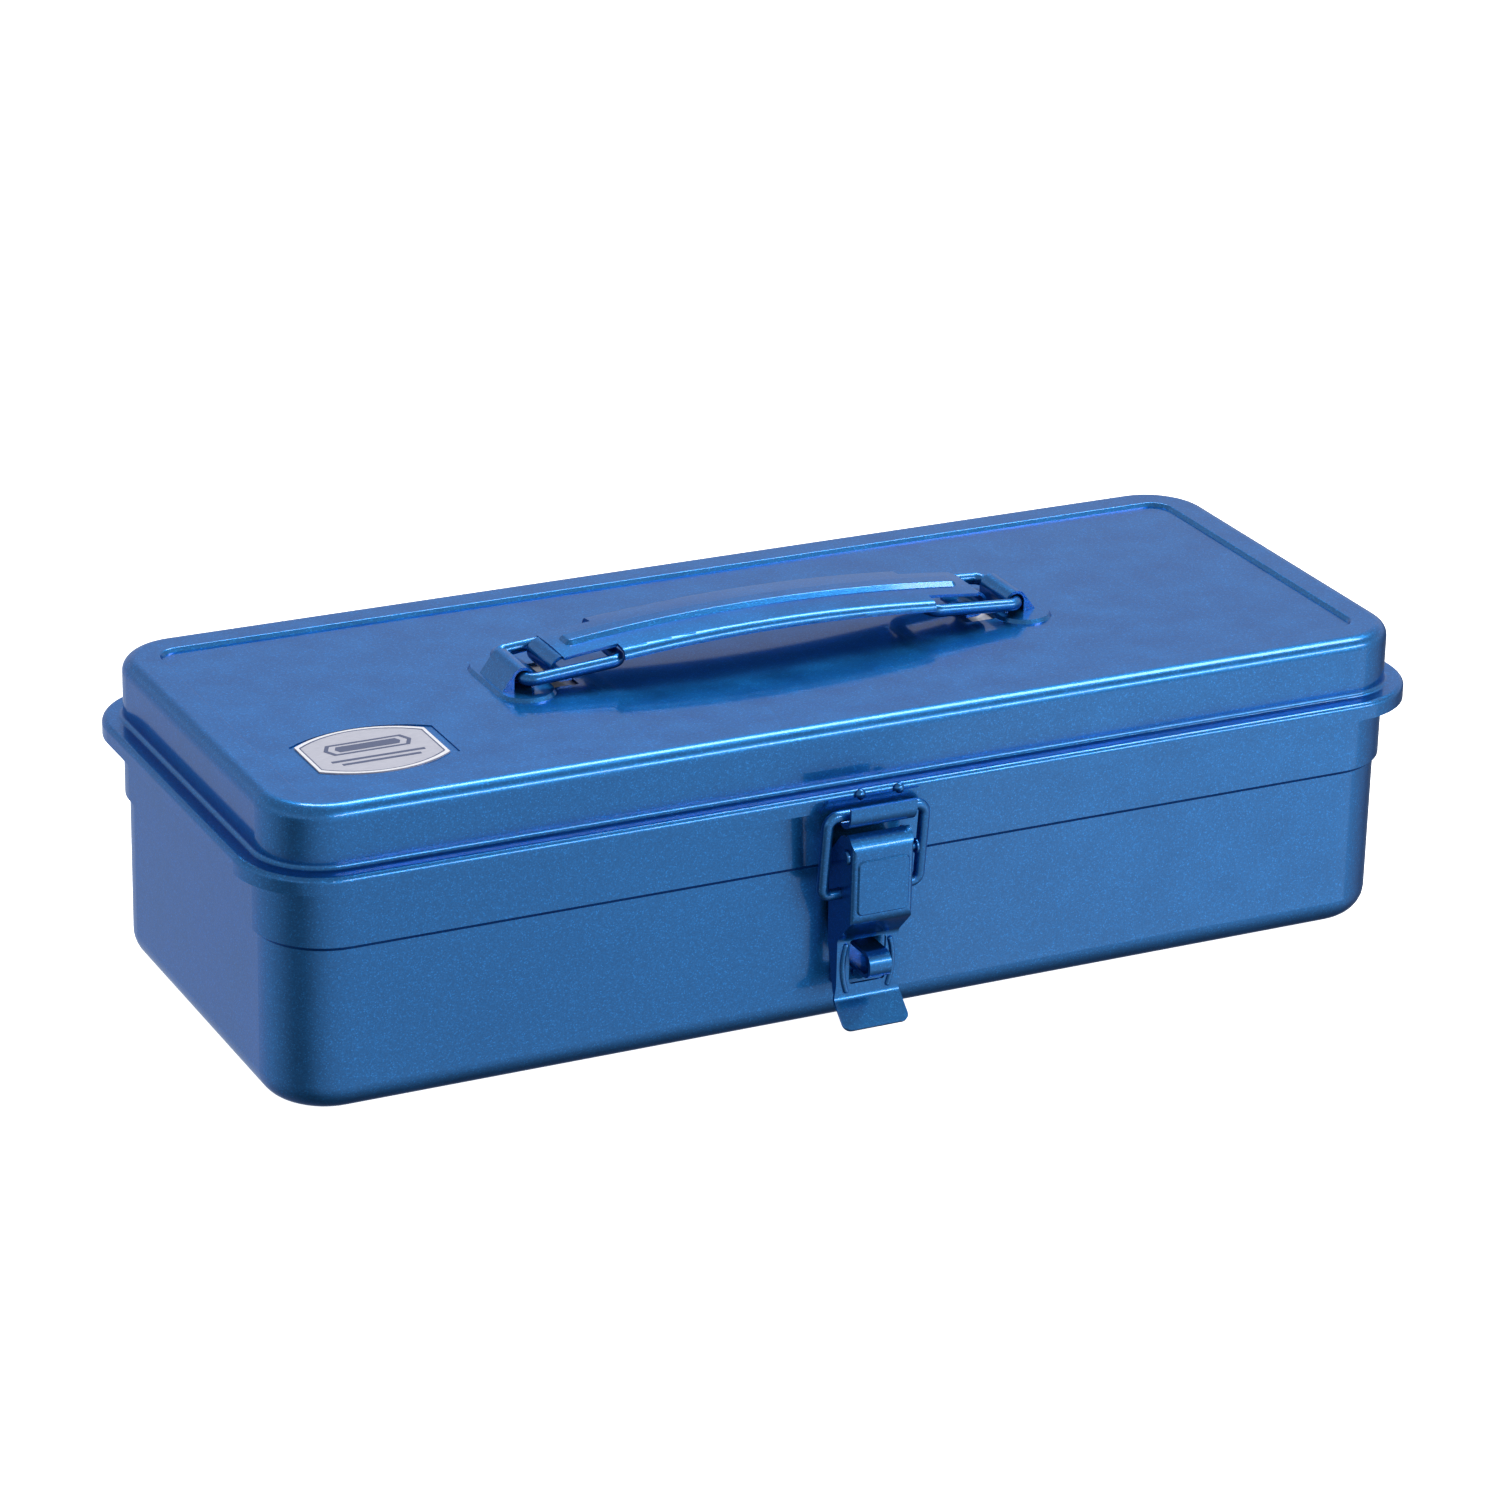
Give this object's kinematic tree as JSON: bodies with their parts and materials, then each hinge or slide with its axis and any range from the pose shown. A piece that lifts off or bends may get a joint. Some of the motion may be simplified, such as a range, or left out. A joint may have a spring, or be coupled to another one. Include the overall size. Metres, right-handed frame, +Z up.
{
  "type": "metal tool box",
  "caption": "Long shallow sheet-steel tool box with a hinged lid, a folding arched carrying handle and a front lever latch with a padlock eye.",
  "frame": {"origin": "centre of the flat base", "axes": "+X along the box to the right, +Y to the hinged back, +Z up; the latch is at -Y"},
  "size_m": [0.333, 0.1514, 0.0953],
  "materials": {
    "blue_paint": "metallic blue stoving paint, satin gloss",
    "zinc": "dull zinc plate",
    "label": null
  },
  "bodies": {
    "tub": {"tub": "blue_paint", "latch_base": "blue_paint", "latch_staple": "blue_paint", "latch_rivets": "blue_paint", "latch_pin": "blue_paint", "hinge_body_leaf_left": "blue_paint", "hinge_body_leaf_right": "blue_paint"},
    "lid": {"lid_shell": "blue_paint", "label_plate": "label", "lid_catch": "blue_paint", "handle_bridge_left": "blue_paint", "handle_bridge_right": "blue_paint", "backing_plate_left": "zinc", "backing_plate_right": "zinc", "hinge_lid_leaf_left": "blue_paint", "hinge_lid_leaf_right": "blue_paint", "hinge_pin_left": "blue_paint", "hinge_pin_right": "blue_paint"},
    "grip": {"handle_grip": "blue_paint"},
    "ring_left": {"handle_ring_left": "blue_paint"},
    "ring_right": {"handle_ring_right": "blue_paint"},
    "lever": {"latch_lever": "blue_paint"},
    "loop": {"latch_loop": "blue_paint"}
  },
  "joints": [
    {"name": "lid_hinge", "type": "hinge", "parent": "tub", "child": "lid", "pos_m": [0, 0.0713, 0.0628], "axis": [-1, 0, 0], "range_deg": [0, 105]},
    {"name": "handle_lift", "type": "slide", "parent": "lid", "child": "grip", "axis": [0, 0, 1], "range_m": [0, 0.0239]},
    {"name": "ring_left_turn", "type": "hinge", "parent": "lid", "child": "ring_left", "pos_m": [-0.0729, 0, 0.08625], "axis": [0, -1, 0], "range_deg": [0, 58.3]},
    {"name": "ring_right_turn", "type": "hinge", "parent": "lid", "child": "ring_right", "pos_m": [0.0703, 0, 0.08625], "axis": [0, 1, 0], "range_deg": [0, 58.3]},
    {"name": "latch_lever_turn", "type": "hinge", "parent": "tub", "child": "lever", "pos_m": [-0.0032, -0.0738, 0.052], "axis": [-1, 0, 0], "range_deg": [0, 105]},
    {"name": "latch_loop_turn", "type": "hinge", "parent": "lever", "child": "loop", "pos_m": [-0.0032, -0.07, 0.0405], "axis": [-1, 0, 0], "range_deg": [-59.5, 0]}
  ],
  "couplings": [
    {"joint": "ring_left_turn", "follows": "handle_lift", "rad_per_m": 42.209},
    {"joint": "ring_right_turn", "follows": "handle_lift", "rad_per_m": 42.209},
    {"joint": "latch_loop_turn", "follows": "latch_lever_turn", "ratio": -0.56}
  ]
}
